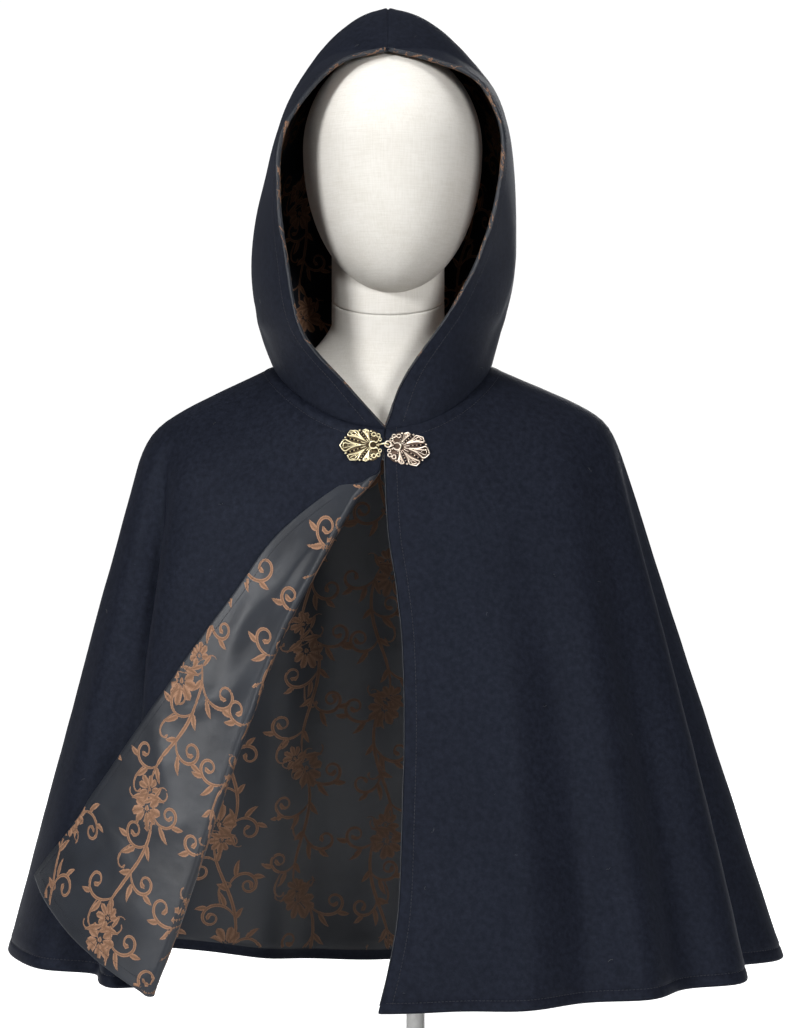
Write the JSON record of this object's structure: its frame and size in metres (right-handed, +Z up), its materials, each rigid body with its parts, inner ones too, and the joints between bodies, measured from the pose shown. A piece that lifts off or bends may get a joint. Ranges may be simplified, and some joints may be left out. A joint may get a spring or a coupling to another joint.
{
  "type": "hooded wool cloak on a head-and-shoulders display form",
  "caption": "Short hooded cloak of dark navy wool with a scroll-patterned satin lining and a brass clasp, one front turned back, on a linen display form with a stand.",
  "frame": {"origin": "centre of the underside of the stand's round base", "axes": "+Z up; the cloak faces -Y and the wearer's left side is +X"},
  "size_m": [0.6717, 0.4431, 0.9383],
  "materials": {
    "wool": "matte",
    "lining": "satin",
    "clasp": "satin",
    "form": "matte",
    "stand": "satin"
  },
  "bodies": {
    "root": {"back_wool": "wool", "front_left_wool": "wool", "front_right_wool": "wool", "hood_left_wool": "wool", "hood_right_wool": "wool", "back_lining": "lining", "front_left_lining": "lining", "front_right_lining": "lining", "hood_left_lining": "lining", "hood_right_lining": "lining", "clasp_right_plate": "clasp", "clasp_left_plate": "clasp", "form_head": "form", "form_shoulders": "form", "stand_pole": "stand", "stand_base": "stand"}
  },
  "joints": []
}
